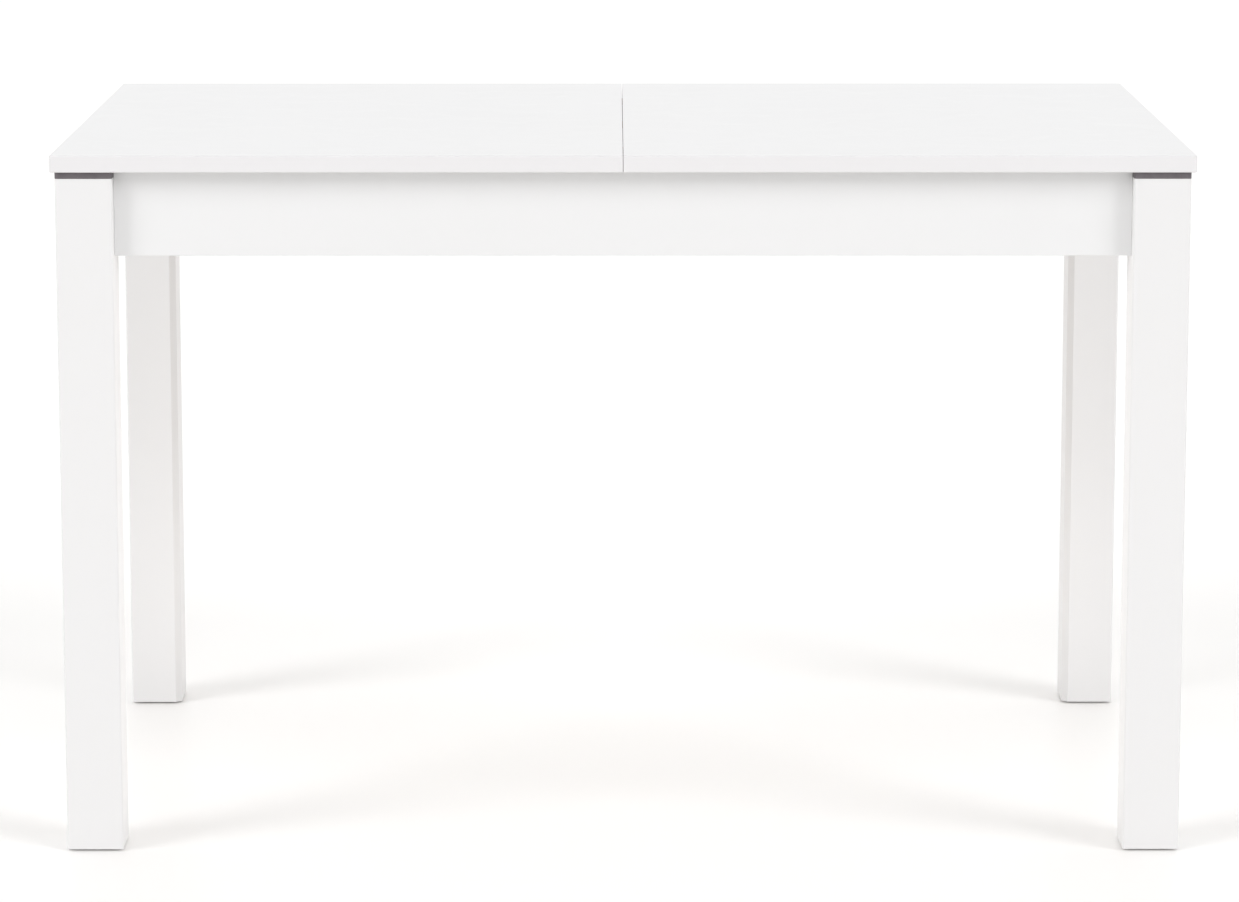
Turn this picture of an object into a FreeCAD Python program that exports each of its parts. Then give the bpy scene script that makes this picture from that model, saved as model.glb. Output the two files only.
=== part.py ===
import FreeCAD, Part
import os
import re

import Sketcher

# Extendable dining table. Millimetres, +Z up, X along the table's length, front towards -Y.
# The origin is on the floor under the middle of the top. The table has two planes of symmetry,
# so most pieces are drawn once in the front right quarter (X > 0, Y < 0) and mirrored.

DIMENSIONS = {
    # whole table, closed
    "table_height": 750, "top_length": 1200, "top_depth": 750,
    # the two half tops and the leaf: coated board with a plastic band on its edges
    "board_thick": 18, "band_thick": 2, "band_round": 1.5, "seam_gap": 0.6, "leaf_width": 400,
    # legs, with the spacers that the half tops glide on
    "leg_side": 60, "leg_inset": 5, "leg_bevel": 7, "leg_round": 2.2, "spacer_thick": 7,
    "spacer_gap": 0.3, "glide_thick": 2, "glide_radius": 20,
    # aprons and the dowels in their ends
    "apron_thick": 18, "apron_recess": 17, "apron_height": 89, "apron_gap": 1.5,
    "dowel_radius": 4, "dowel_depth": 25, "dowel_rise": 22.5,
    # corner brackets and their hanger bolts
    "bracket_thick": 2.5, "bracket_height": 60, "bracket_flange": 28, "bracket_standoff": 17,
    "bolt_radius": 3.9, "bolt_depth": 40, "bolt_spread": 11, "bolt_end": 33, "bolt_play": 0.6,
    "bolt_overrun": 10, "plate_overrun": 2,
    "washer_radius": 9, "washer_thick": 1.6, "nut_radius": 7.5, "nut_thick": 6.5,
    # wood screws
    "screw_radius": 1.9, "screw_length": 14, "screw_head_radius": 3.5, "screw_head": 1.6,
    "long_screw_radius": 2.2, "long_screw_length": 40, "long_screw_head": 3,
    "long_screw_head_radius": 4.4, "long_screw_sink": 22, "sink_radius": 5, "play": 0.05,
    # ball slides: a fixed channel on each long apron, a runner for each half top, cages between
    "slide_thick": 12.7, "slide_height": 45, "sheet_thick": 1.2, "channel_half": 462,
    "channel_depth": 10.5, "channel_lip": 3.1, "runner_start": 15, "runner_length": 245,
    "runner_half": 16.8, "runner_reach": 9.1, "runner_lip": 0.6, "stop_half": 9,
    "stop_depth": 12.2, "slide_drop": 27, "channel_screw_in": 60, "channel_screw_out": 420,
    "cage_thick": 0.8, "cage_start": 120, "cage_length": 140, "cage_near": 2, "cage_far": 8.9,
    "ball_radius": 1.95, "ball_offset": 6.3, "ball_pitch": 20, "pocket_radius": 2.15,
    # wooden battens that carry each half top on its slide runners
    "batten_start": 10, "batten_length": 270, "batten_thick": 22, "batten_height": 50,
    # rails that carry the stored leaf
    "rail_place": 250, "rail_width": 40, "rail_height": 25, "rail_drop": 57, "pad_thick": 2,
    "pad_side": 36, "pad_place": 160, "block_place": 220, "block_width": 12, "block_height": 15,
    "rail_dowel_depth": 12, "rail_dowel_length": 36,
    # dowels that line up the half tops and the leaf
    "pin_radius": 4, "pin_reach": 10, "pin_root": 25, "pin_spacing": 250, "socket_radius": 4.3,
    "socket_depth": 12,
    # latches under the seam
    "latch_place": 228, "latch_reach": 28, "hook_thick": 4, "hook_half": 9, "hook_tip": 66,
    "slot_near": 51.7, "slot_far": 59.6, "slot_end": 3.4, "tab_near": 22,
    "tab_far": 42, "tab_reach": 21, "collar_thick": 2, "collar_radius": 9, "hook_play": 0.3,
    "pivot_radius": 4, "pivot_bore": 4.08, "pivot_head_radius": 7, "stud_radius": 3,
    "stud_head_radius": 6, "latch_head": 3, "latch_root": 12,
}

doc = FreeCAD.newDocument("extendable_dining_table")
sheet = doc.addObject("Spreadsheet::Sheet", "Sizes")
for row, (alias, number) in enumerate(DIMENSIONS.items(), start=1):
    sheet.set(f"A{row}", alias)
    sheet.set(f"B{row}", str(number))
    sheet.setAlias(f"B{row}", alias)
doc.recompute()

# Places that several pieces share, as formulas over the sheet.
LEG_OUT_X = "(top_length / 2 - leg_inset)"
LEG_OUT_Y = "(top_depth / 2 - leg_inset)"
LEG_IN_X = f"({LEG_OUT_X} - leg_side)"
LEG_IN_Y = f"({LEG_OUT_Y} - leg_side)"
APRON_OUT_X = f"({LEG_OUT_X} - apron_recess)"
APRON_OUT_Y = f"({LEG_OUT_Y} - apron_recess)"
APRON_IN_X = f"({APRON_OUT_X} - apron_thick)"
APRON_IN_Y = f"({APRON_OUT_Y} - apron_thick)"
BOARD_UNDER = "(table_height - board_thick)"
LEG_TOP = f"({BOARD_UNDER} - spacer_thick)"
APRON_TOP = f"({BOARD_UNDER} - apron_gap)"
APRON_BASE = f"({APRON_TOP} - apron_height)"
APRON_MIDDLE = f"({APRON_TOP} - apron_height / 2)"
BATTEN_OUT_Y = f"({APRON_IN_Y} - slide_thick)"
BATTEN_BASE = f"({BOARD_UNDER} - batten_height)"
SLIDE_MIDDLE = f"({BOARD_UNDER} - slide_drop)"
RAIL_TOP = f"({BOARD_UNDER} - rail_drop)"
LEAF_BASE = f"({RAIL_TOP} + pad_thick)"
LEAF_MIDDLE = f"({LEAF_BASE} + board_thick / 2)"
BOARD_MIDDLE = "(table_height - board_thick / 2)"
HOOK_TOP = f"({BOARD_UNDER} - collar_thick - hook_play)"

AXES = {"X": FreeCAD.Vector(1, 0, 0), "-X": FreeCAD.Vector(-1, 0, 0), "Y": FreeCAD.Vector(0, 1, 0),
        "-Y": FreeCAD.Vector(0, -1, 0), "Z": FreeCAD.Vector(0, 0, 1), "-Z": FreeCAD.Vector(0, 0, -1),
        "from corner": FreeCAD.Vector(-1, 1, 0)}
nodes = []


def number_of(formula):
    """The value that a formula over the sheet's aliases has now."""
    return float(sheet.evalExpression(formula))


def bind(target, **formulas):
    """Bind properties to formulas; a double underscore in a keyword stands for a dot."""
    for name, formula in formulas.items():
        linked = re.sub(r"\b[a-z][a-z_]+\b(?!\()", r"Sizes.\g<0>", formula)
        target.setExpression(name.replace("__", "."), linked)
    return target


def place(target, at):
    """Bind an object's position to three formulas."""
    return bind(target, Placement__Base__x=at[0], Placement__Base__y=at[1], Placement__Base__z=at[2])


def node(label, shape_object):
    """Name a finished sub-part; its label is the name of its file."""
    shape_object.Label = label
    nodes.append(shape_object)
    return shape_object


def box(name, size, at):
    block = doc.addObject("Part::Box", name)
    bind(block, Length=size[0], Width=size[1], Height=size[2])
    return place(block, at)


def rod(name, radius, length, at, axis):
    """A cylinder that starts at a point and runs along an axis."""
    cylinder = doc.addObject("Part::Cylinder", name)
    bind(cylinder, Radius=radius, Height=length)
    cylinder.Placement.Rotation = FreeCAD.Rotation(AXES["Z"], AXES[axis])
    return place(cylinder, at)


def outline(name, plane, corners, length, at=("0", "0", "0")):
    """A body padded from a closed polygon whose every corner is bound to the sheet."""
    body = doc.addObject("PartDesign::Body", name)
    sketch = body.newObject("Sketcher::SketchObject", name + "_sketch")
    origin_planes = {feature.Role: feature for feature in body.Origin.OriginFeatures}
    sketch.AttachmentSupport = (origin_planes[f"{plane}_Plane"], [""])
    sketch.MapMode = "FlatFace"
    points = [FreeCAD.Vector(number_of(across), number_of(up), 0) for across, up in corners]
    following = points[1:] + points[:1]
    for start, end in zip(points, following):
        sketch.addGeometry(Part.LineSegment(start, end))
    for index, point in enumerate(points):
        before = (index - 1) % len(points)
        sketch.addConstraint(Sketcher.Constraint("Coincident", before, 2, index, 1))
        for kind, value, formula in (("DistanceX", point.x, corners[index][0]),
                                     ("DistanceY", point.y, corners[index][1])):
            number = sketch.addConstraint(Sketcher.Constraint(kind, -1, 1, index, 1, value))
            bind(sketch, **{f"Constraints[{number}]": formula})
    pad = body.newObject("PartDesign::Pad", name + "_pad")
    pad.Profile = sketch
    bind(pad, Length=length)
    place(body, at)
    doc.recompute()
    return body


def rounded(body, radius, chosen):
    """Fillet a body's edges that a test of their two ends picks out."""
    tip = body.Tip
    picked = []
    for index, edge in enumerate(tip.Shape.Edges, start=1):
        ends = [vertex.Point for vertex in edge.Vertexes]
        if len(ends) == 2 and chosen(ends[0], ends[1]):
            picked.append(f"Edge{index}")
    fillet = body.newObject("PartDesign::Fillet", body.Name + "_round")
    fillet.Base = (tip, picked)
    bind(fillet, Radius=radius)
    doc.recompute()
    return body


def mirrored(name, source, normal):
    copy = doc.addObject("Part::Mirroring", name)
    copy.Source = source
    copy.Normal = AXES[normal]
    return copy


def group(name, pieces):
    """Separate solids kept side by side in one object."""
    compound = doc.addObject("Part::Compound", name)
    compound.Links = pieces
    return compound


def fused(name, pieces):
    union = doc.addObject("Part::MultiFuse", name)
    union.Shapes = pieces
    return union


def cut(name, base, tools):
    result = doc.addObject("Part::Cut", name)
    result.Base = base
    result.Tool = tools[0] if len(tools) == 1 else fused(name + "_tools", tools)
    return result


def left_and_right(name, source):
    return group(name, [source, mirrored(name + "_left", source, "X")])


def front_and_rear(name, source):
    return group(name, [source, mirrored(name + "_rear", source, "Y")])


def all_corners(label, source):
    """One node that holds a piece, or a few, at each of the table's four corners."""
    front = [source, mirrored(label + "_fl", source, "X")]
    rear = [mirrored(label + "_rr", source, "Y"), mirrored(label + "_rl", front[1], "Y")]
    return node(label, group(label, front + rear))


def corner_nodes(label, source):
    """Four nodes, one for each corner of the table."""
    left = mirrored(label + "_fl", source, "X")
    node(label + "_front_right", source)
    node(label + "_front_left", left)
    node(label + "_rear_right", mirrored(label + "_rr", source, "Y"))
    node(label + "_rear_left", mirrored(label + "_rl", left, "Y"))


def side_nodes(label, source):
    """Two nodes, the right-hand piece and its mirror image on the left."""
    node(label + "_right", source)
    node(label + "_left", mirrored(label + "_l", source, "X"))


def both_side_nodes(label, source):
    """Two nodes, each with the same piece, or a few, at the front and at the rear."""
    side_nodes(label, front_and_rear(label + "_pair", source))


def screw(name, at, axis, size="screw"):
    """A screw whose head stands on a surface; the axis is the way that its shank points."""
    back = axis[1:] if axis.startswith("-") else "-" + axis
    shank = rod(name + "_shank", f"{size}_radius", f"{size}_length", at, axis)
    head = rod(name + "_head", f"{size}_head_radius", f"{size}_head", at, back)
    return fused(name, [shank, head])


def pilot(name, at, axis, size="screw"):
    """The hole that a screw's shank sits in."""
    return rod(name, f"{size}_radius + play", f"{size}_length + play", at, axis)


# Corner dowels: beech pins, two in each end of each apron, half in the apron and half in the leg.
dowels = []
dowel_bores = []
for level, sign in (("low", "-"), ("high", "+")):
    height = f"{APRON_MIDDLE} {sign} dowel_rise"
    long_start = (f"{LEG_IN_X} - dowel_depth", f"-{APRON_OUT_Y} + apron_thick / 2", height)
    short_start = (f"{APRON_OUT_X} - apron_thick / 2", f"-{LEG_IN_Y} + dowel_depth", height)
    for side, start, axis in (("long", long_start, "X"), ("short", short_start, "-Y")):
        name = f"dowel_{side}_{level}"
        dowels.append(rod(name, "dowel_radius", "2 * dowel_depth", start, axis))
        dowel_bores.append(rod(name + "_bore", "dowel_radius + play", "2 * dowel_depth", start, axis))
all_corners("apron_dowels", group("apron_dowels_corner", dowels))

# Hanger bolts: two at each corner, driven into the leg's bevelled inner edge on the diagonal.
BEVEL_X = f"({LEG_IN_X} + leg_bevel / 2)"
BEVEL_Y = f"(-{LEG_IN_Y} - leg_bevel / 2)"


def on_diagonal(distance, height):
    """The point at a distance from a leg's bevel towards the middle of the table."""
    return (f"{BEVEL_X} - ({distance}) / sqrt(2)", f"{BEVEL_Y} + ({distance}) / sqrt(2)", height)


PLATE_FAR = "(bracket_standoff + bracket_thick)"
bolts = []
bolt_bores = []
plate_bores = []
washers = []
nuts = []
for level, sign in (("low", "-"), ("high", "+")):
    height = f"{APRON_MIDDLE} {sign} bolt_spread"
    tail = on_diagonal("-bolt_depth", height)
    bolts.append(rod(f"bolt_{level}", "bolt_radius", "bolt_depth + bolt_end", tail, "from corner"))
    bolt_bores.append(rod(f"bolt_bore_{level}", "bolt_radius + play", "bolt_depth + bolt_overrun",
                         tail, "from corner"))
    plate_bores.append(rod(f"plate_bore_{level}", "bolt_radius + bolt_play",
                           "bracket_thick + 2 * plate_overrun",
                           on_diagonal("bracket_standoff - plate_overrun", height), "from corner"))
    washer_at = on_diagonal(PLATE_FAR, height)
    washer_disc = rod(f"washer_disc_{level}", "washer_radius", "washer_thick", washer_at, "from corner")
    washer_bore = rod(f"washer_bore_{level}", "bolt_radius + bolt_play / 2", "washer_thick", washer_at,
                      "from corner")
    washers.append(cut(f"washer_{level}", washer_disc, [washer_bore]))
    nut_at = on_diagonal(f"{PLATE_FAR} + washer_thick", height)
    hexagon = doc.addObject("Part::Prism", f"nut_hexagon_{level}")
    hexagon.Polygon = 6
    bind(hexagon, Circumradius="nut_radius", Height="nut_thick")
    hexagon.Placement.Rotation = FreeCAD.Rotation(AXES["Z"], AXES["from corner"])
    place(hexagon, nut_at)
    nut_bore = rod(f"nut_bore_{level}", "bolt_radius + play", "nut_thick", nut_at, "from corner")
    nuts.append(cut(f"nut_{level}", hexagon, [nut_bore]))
all_corners("hanger_bolts", group("hanger_bolts_corner", bolts))
all_corners("hanger_bolt_washers", group("hanger_bolt_washers_corner", washers))
all_corners("hanger_bolt_nuts", group("hanger_bolt_nuts_corner", nuts))

# Legs: solid square posts with eased edges and a wide bevel on the inner corner.
LEG_SECTION = [(LEG_IN_X, f"-{LEG_OUT_Y}"), (LEG_OUT_X, f"-{LEG_OUT_Y}"), (LEG_OUT_X, f"-{LEG_IN_Y}"),
               (f"{LEG_IN_X} + leg_bevel", f"-{LEG_IN_Y}"), (LEG_IN_X, f"-{LEG_IN_Y} - leg_bevel")]
leg_post = outline("leg_post", "XY", LEG_SECTION, f"{LEG_TOP} - glide_thick", ("0", "0", "glide_thick"))
inner_x = number_of(f"{LEG_IN_X} + leg_bevel")
inner_y = number_of(f"-{LEG_IN_Y} - leg_bevel")


def is_outer_arris(start, end):
    """An upright edge of the post that isn't one of the bevel's two."""
    upright = abs(start.x - end.x) + abs(start.y - end.y) < 0.01
    on_bevel = start.x < inner_x + 0.01 and start.y > inner_y - 0.01
    return upright and not on_bevel


rounded(leg_post, "leg_round", is_outer_arris)
spacer_hole = (f"{LEG_OUT_X} - leg_side / 2", f"-{LEG_OUT_Y} + leg_side / 2")
spacer_screw_at = (*spacer_hole, f"{LEG_TOP} + spacer_thick / 2")
leg_bores = dowel_bores + bolt_bores + [pilot("spacer_pilot", spacer_screw_at, "-Z")]
corner_nodes("leg", cut("leg", leg_post, leg_bores))

# Leg spacers: dark moulded plates, screwed on the legs, that hold up the sliding half tops.
spacer_plate = outline("spacer_plate", "XY", LEG_SECTION, "spacer_thick - spacer_gap", ("0", "0", LEG_TOP))
rounded(spacer_plate, "leg_round", is_outer_arris)
spacer_bores = [
    rod("spacer_bore", "screw_radius + play", "spacer_thick", (*spacer_hole, LEG_TOP), "Z"),
    rod("spacer_sink", "sink_radius", "spacer_thick", spacer_screw_at, "Z")]
corner_nodes("leg_spacer", cut("leg_spacer", spacer_plate, spacer_bores))
all_corners("leg_spacer_screws", screw("leg_spacer_screw", spacer_screw_at, "-Z"))

# Foot glides: thin plastic discs under the legs.
all_corners("foot_glides", rod("foot_glide", "glide_radius", "glide_thick", (*spacer_hole, "0"), "Z"))

# Corner brackets: a pressed steel plate across each corner, its two flanges screwed on the aprons.
PLATE_Y_END = f"({BEVEL_X} - {BEVEL_Y} - bracket_standoff * sqrt(2) - {APRON_IN_X})"
PLATE_X_END = f"({BEVEL_X} - {BEVEL_Y} - bracket_standoff * sqrt(2) - {APRON_IN_Y})"
BEND = "bracket_thick * (sqrt(2) - 1)"
bracket_plate = outline(
    "bracket_plate", "XY",
    [(f"{PLATE_X_END} - bracket_flange", f"-{APRON_IN_Y}"), (PLATE_X_END, f"-{APRON_IN_Y}"),
     (APRON_IN_X, f"-{PLATE_Y_END}"), (APRON_IN_X, f"-{PLATE_Y_END} + bracket_flange"),
     (f"{APRON_IN_X} - bracket_thick", f"-{PLATE_Y_END} + bracket_flange"),
     (f"{APRON_IN_X} - bracket_thick", f"-{PLATE_Y_END} + {BEND}"),
     (f"{PLATE_X_END} - {BEND}", f"-{APRON_IN_Y} + bracket_thick"),
     (f"{PLATE_X_END} - bracket_flange", f"-{APRON_IN_Y} + bracket_thick")],
    "bracket_height", ("0", "0", f"{APRON_MIDDLE} - bracket_height / 2"))
bracket_screws = []
bracket_pilots = []
for level, sign in (("low", "-"), ("high", "+")):
    height = f"{APRON_MIDDLE} {sign} bracket_height / 4"
    long_at = (f"{PLATE_X_END} - bracket_flange / 2", f"-{APRON_IN_Y} + bracket_thick", height)
    short_at = (f"{APRON_IN_X} - bracket_thick", f"-{PLATE_Y_END} + bracket_flange / 2", height)
    for side, at, axis in (("long", long_at, "-Y"), ("short", short_at, "X")):
        bracket_screws.append(screw(f"bracket_screw_{side}_{level}", at, axis))
        bracket_pilots.append(pilot(f"bracket_pilot_{side}_{level}", at, axis))
corner_nodes("corner_bracket", cut("corner_bracket", bracket_plate, plate_bores + bracket_pilots))
all_corners("corner_bracket_screws", group("corner_bracket_screws_corner", bracket_screws))

# Slide channels: a folded steel channel screwed along the inner face of each long apron. Its
# section is drawn from the apron's face towards the middle, and it has a bent stop at each end.
CHANNEL_HALF = "slide_height / 2"
LIP_EDGE = f"{CHANNEL_HALF} - sheet_thick - channel_lip"


def from_apron(depth):
    return f"-{APRON_IN_Y} + {depth}"


def c_section(far, near, half, lip_edge):
    """A lipped channel: its web stands at near, and its flanges reach to far."""
    step = "+ sheet_thick" if number_of(far) > number_of(near) else "- sheet_thick"
    back = "- sheet_thick" if step.startswith("+") else "+ sheet_thick"
    upper = [(far, half), (far, lip_edge), (f"{far} {back}", lip_edge),
             (f"{far} {back}", f"{half} - sheet_thick"), (f"{near} {step}", f"{half} - sheet_thick")]
    lower = [(across, f"-({up})") for across, up in reversed(upper)]
    return [(near, half)] + upper + lower + [(near, f"-({half})")]


channel_body = outline(
    "channel_body", "YZ", c_section(from_apron("channel_depth"), from_apron("0"), CHANNEL_HALF, LIP_EDGE),
    "2 * channel_half", ("-channel_half", "0", SLIDE_MIDDLE))
end_stop = box("channel_stop", ("sheet_thick", "stop_depth", "2 * stop_half"),
               ("channel_half - sheet_thick", from_apron("0"), f"{SLIDE_MIDDLE} - stop_half"))
channel_screws = []
channel_pilots = []
for name, along in (("inner", "channel_screw_in"), ("outer", "channel_screw_out")):
    at = (along, from_apron("sheet_thick"), SLIDE_MIDDLE)
    channel_screws.append(screw(f"channel_screw_{name}", at, "-Y"))
    channel_pilots.append(pilot(f"channel_pilot_{name}", at, "-Y"))
channel_tools = left_and_right("channel_holes", group("channel_holes_right", channel_pilots))
slide_channel = cut("slide_channel", fused("channel", [channel_body, left_and_right("stops", end_stop)]),
                    [channel_tools])
node("slide_channel_front", slide_channel)
node("slide_channel_rear", mirrored("slide_channel_rear", slide_channel, "Y"))
all_corners("slide_channel_screws", group("slide_channel_screws_corner", channel_screws))

# Leaf rails: two cross rails, dowelled between the long aprons, that carry the stored leaf.
rail_box = box("rail_box", ("rail_width", f"2 * {APRON_IN_Y}", "rail_height"),
               ("rail_place - rail_width / 2", f"-{APRON_IN_Y}", f"{RAIL_TOP} - rail_height"))
rail_dowels = []
rail_bores = []
for index, sign in enumerate(("-", "+")):
    at = (f"rail_place {sign} rail_width / 4", f"-{APRON_IN_Y} - rail_dowel_depth",
          f"{RAIL_TOP} - rail_height / 2")
    rail_dowels.append(rod(f"rail_dowel_{index}", "dowel_radius", "rail_dowel_length", at, "Y"))
    rail_bores.append(rod(f"rail_bore_{index}", "dowel_radius + play", "rail_dowel_length", at, "Y"))
leaf_rail = cut("leaf_rail", rail_box, [front_and_rear("rail_bores", group("rail_bores_front", rail_bores))])
side_nodes("leaf_rail", leaf_rail)
all_corners("rail_dowels", group("rail_dowels_corner", rail_dowels))
all_corners("leaf_pads", box("leaf_pad", ("pad_side", "pad_side", "pad_thick"),
                             ("rail_place - pad_side / 2", "-pad_place - pad_side / 2", RAIL_TOP)))
all_corners("leaf_stop_blocks", box("leaf_stop_block", ("rail_width", "block_width", "block_height"),
                                    ("rail_place - rail_width / 2", "-block_place - block_width / 2",
                                     RAIL_TOP)))

# Aprons: coated boards on edge between the legs, drilled on the inside for dowels and screws.
long_holes = group("long_holes", dowel_bores + bracket_pilots + channel_pilots + rail_bores)
long_board = box("long_board", (f"2 * {LEG_IN_X}", "apron_thick", "apron_height"),
                 (f"-{LEG_IN_X}", f"-{APRON_OUT_Y}", APRON_BASE))
long_apron = cut("long_apron", long_board, [left_and_right("long_holes_both", long_holes)])
node("long_apron_front", long_apron)
node("long_apron_rear", mirrored("long_apron_rear", long_apron, "Y"))
short_holes = group("short_holes", dowel_bores + bracket_pilots)
short_board = box("short_board", ("apron_thick", f"2 * {LEG_IN_Y}", "apron_height"),
                  (APRON_IN_X, f"-{LEG_IN_Y}", APRON_BASE))
side_nodes("short_apron", cut("short_apron", short_board, [front_and_rear("short_holes_both", short_holes)]))

# Battens: wooden strips screwed up under the half tops, in deep counterbores, to carry them.
batten_box = box("batten_box", ("batten_length", "batten_thick", "batten_height"),
                 ("batten_start", f"-{BATTEN_OUT_Y}", BATTEN_BASE))
batten_screws = []
batten_pilots = []
batten_sinks = []
for index, share in enumerate(("1 / 8", "1 / 2", "7 / 8")):
    spot = (f"batten_start + batten_length * {share}", f"-{BATTEN_OUT_Y} + batten_thick / 2")
    head_at = (*spot, f"{BATTEN_BASE} + long_screw_sink")
    batten_screws.append(screw(f"batten_screw_{index}", head_at, "Z", "long_screw"))
    batten_pilots.append(pilot(f"batten_pilot_{index}", head_at, "Z", "long_screw"))
    batten_sinks.append(rod(f"batten_sink_{index}", "sink_radius", "long_screw_sink",
                            (*spot, BATTEN_BASE), "Z"))
both_side_nodes("batten_screws", group("batten_screws_front", batten_screws))

# Slide runners: the moving channel of each slide, screwed on its batten and open to the apron.
runner_body = outline(
    "runner_body", "YZ",
    c_section(from_apron("slide_thick - runner_reach"), from_apron("slide_thick"), "runner_half",
              "runner_half - sheet_thick - runner_lip"),
    "runner_length", ("runner_start", "0", SLIDE_MIDDLE))
runner_screws = []
runner_pilots = []
for index, share in enumerate(("1 / 4", "3 / 4")):
    at = (f"runner_start + runner_length * {share}", from_apron("slide_thick - sheet_thick"), SLIDE_MIDDLE)
    runner_screws.append(screw(f"runner_screw_{index}", at, "Y"))
    runner_pilots.append(pilot(f"runner_pilot_{index}", at, "Y"))
corner_nodes("slide_runner", cut("slide_runner", runner_body, runner_pilots))
corner_nodes("top_batten", cut("top_batten", batten_box, batten_pilots + batten_sinks + runner_pilots))
both_side_nodes("runner_screws", group("runner_screws_front", runner_screws))

# Ball cages: a thin folded strip in each slide with a row of steel balls above and below.
BALL_LINE = "((slide_height / 2 - sheet_thick + runner_half) / 2)"
ARM_OUT = f"{BALL_LINE} + cage_thick / 2"
ARM_IN = f"{BALL_LINE} - cage_thick / 2"
CAGE_WEB = from_apron("cage_near + cage_thick")
cage_body = outline(
    "cage_body", "YZ",
    [(from_apron("cage_near"), ARM_OUT), (from_apron("cage_far"), ARM_OUT),
     (from_apron("cage_far"), ARM_IN), (CAGE_WEB, ARM_IN), (CAGE_WEB, f"-({ARM_IN})"),
     (from_apron("cage_far"), f"-({ARM_IN})"), (from_apron("cage_far"), f"-({ARM_OUT})"),
     (from_apron("cage_near"), f"-({ARM_OUT})")],
    "cage_length", ("cage_start", "0", SLIDE_MIDDLE))
balls = []
pockets = []
for step in range(-3, 4):
    along = f"cage_start + cage_length / 2 + {step} * ball_pitch"
    pockets.append(rod(f"pocket_{step + 3}", "pocket_radius", "slide_height",
                       (along, from_apron("ball_offset"), f"{SLIDE_MIDDLE} - slide_height / 2"), "Z"))
    for level, sign in (("low", "-"), ("high", "+")):
        ball = doc.addObject("Part::Sphere", f"ball_{level}_{step + 3}")
        bind(ball, Radius="ball_radius")
        balls.append(place(ball, (along, from_apron("ball_offset"), f"{SLIDE_MIDDLE} {sign} {BALL_LINE}")))
both_side_nodes("ball_cages", cut("ball_cage", cage_body, pockets))
both_side_nodes("slide_balls", group("slide_balls_front", balls))

# Latches: a hook turns on a pivot screw under the left half and grips a headed stud under the
# right half. The hook is drawn parked: it points away from the middle, with its slot ahead.
PIVOT = ("-latch_reach", "-latch_place")
hook_plate = outline(
    "hook_plate", "XY",
    [("-hook_half", "0"), ("-hook_half", "-tab_near"), ("-tab_reach", "-tab_near"),
     ("-tab_reach", "-tab_far"), ("-hook_half", "-tab_far"), ("-hook_half", "-hook_tip"),
     ("hook_half", "-hook_tip"), ("hook_half", "-slot_far"), ("-slot_end", "-slot_far"),
     ("-slot_end", "-slot_near"), ("hook_half", "-slot_near"), ("hook_half", "0")],
    "hook_thick", (*PIVOT, f"{HOOK_TOP} - hook_thick"))
hook_eye = rod("hook_eye", "hook_half", "hook_thick", (*PIVOT, HOOK_TOP), "-Z")
hook_bore = rod("hook_bore", "pivot_bore", "hook_thick", (*PIVOT, HOOK_TOP), "-Z")
latch_hook = cut("latch_hook", fused("hook", [hook_plate, hook_eye]), [hook_bore])
node("latch_hook_front", latch_hook)
node("latch_hook_rear", mirrored("latch_hook_rear", latch_hook, "Y"))


def latch_stud(label, across, radius, head_radius):
    """Front and rear studs: a collar on the board, a shank up into it, a head below the hook."""
    spot = (across, "-latch_place")
    below_hook = f"{HOOK_TOP} - hook_thick - hook_play"
    shank = rod(label + "_shank", radius, "hook_thick + 2 * hook_play + collar_thick + latch_root",
                (*spot, below_hook), "Z")
    head = rod(label + "_head", head_radius, "latch_head", (*spot, below_hook), "-Z")
    collar = rod(label + "_collar", "collar_radius", "collar_thick", (*spot, BOARD_UNDER), "-Z")
    node(label, front_and_rear(label, fused(label + "_front", [shank, head, collar])))
    bore = rod(label + "_bore", f"{radius} + play", "latch_root + play", (*spot, BOARD_UNDER), "Z")
    return front_and_rear(label + "_bores", bore)


pivot_bores = latch_stud("latch_pivots", "-latch_reach", "pivot_radius", "pivot_head_radius")
stud_bores = latch_stud("latch_studs", "latch_reach", "stud_radius", "stud_head_radius")

# Seam dowels: beech pins glued in the right half's edge that enter sockets in the left half's.
seam_dowels = []
seam_roots = []
seam_sockets = []
for step in (-1, 0, 1):
    along = f"{step} * pin_spacing"
    seam_dowels.append(rod(f"seam_dowel_{step + 1}", "pin_radius", "pin_root + pin_reach",
                           ("pin_root", along, BOARD_MIDDLE), "-X"))
    seam_roots.append(rod(f"seam_root_{step + 1}", "pin_radius + play", "pin_root + play",
                          ("pin_root + play", along, BOARD_MIDDLE), "-X"))
    seam_sockets.append(rod(f"seam_socket_{step + 1}", "socket_radius", "socket_depth",
                            ("0", along, BOARD_MIDDLE), "-X"))
node("seam_dowels", group("seam_dowels", seam_dowels))

# Edge bands: plastic strips glued round each board, eased where hands meet them.
OUTER_Y = "top_depth / 2"
INNER_Y = f"({OUTER_Y} - band_thick)"
OUTER_X = "top_length / 2"
INNER_X = f"({OUTER_X} - band_thick)"
SEAM_X = "(seam_gap / 2)"
outer_x = number_of(OUTER_X)
outer_y = number_of(OUTER_Y)


def on_front_face(start, end):
    """An outer edge of the front strip, apart from the one that meets the other half."""
    on_face = max(start.y, end.y) < 0.01 - outer_y
    return on_face and (abs(start.z - end.z) < 0.01 or start.x > outer_x - 0.01)


def on_end_face(start, end):
    """An outer edge of the end strip that runs along the table's end."""
    return min(start.x, end.x) > outer_x - 0.01 and abs(start.z - end.z) < 0.01


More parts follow.
